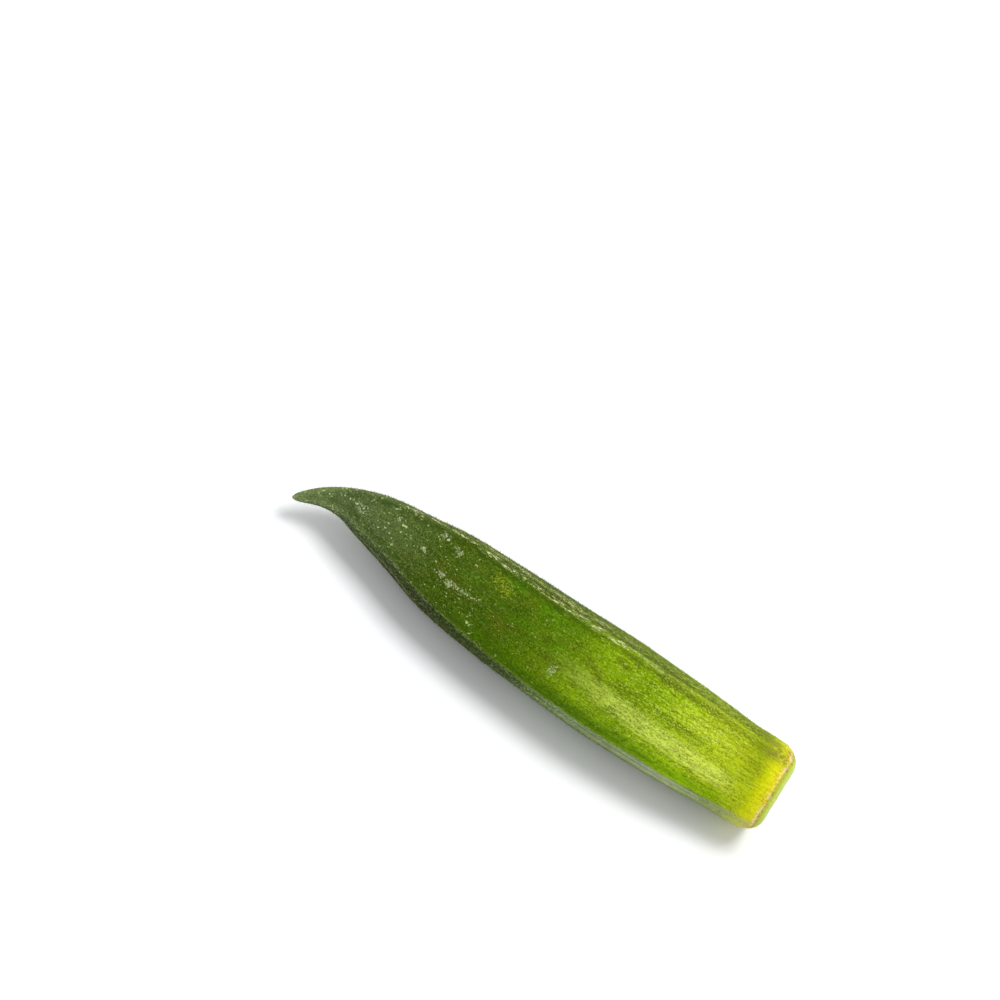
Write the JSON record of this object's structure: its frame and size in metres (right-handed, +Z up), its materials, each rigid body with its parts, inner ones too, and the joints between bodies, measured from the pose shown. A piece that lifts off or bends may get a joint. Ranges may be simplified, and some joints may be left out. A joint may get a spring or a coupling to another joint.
{
  "type": "okra pod",
  "caption": "Picked okra pod with ridged sides, a tapering hooked tip and a blunt trimmed stem end, lying on one flat side.",
  "frame": {"origin": "centre of the base of the pod's box, on the surface that the pod lies on", "axes": "+X from the hooked tip towards the cut stem end, +Z up, -Y on the side that the broad face turns to"},
  "size_m": [0.12, 0.0248, 0.0233],
  "materials": {
    "pod_skin": "matte"
  },
  "bodies": {
    "root": {"okra_pod": "pod_skin"}
  },
  "joints": []
}
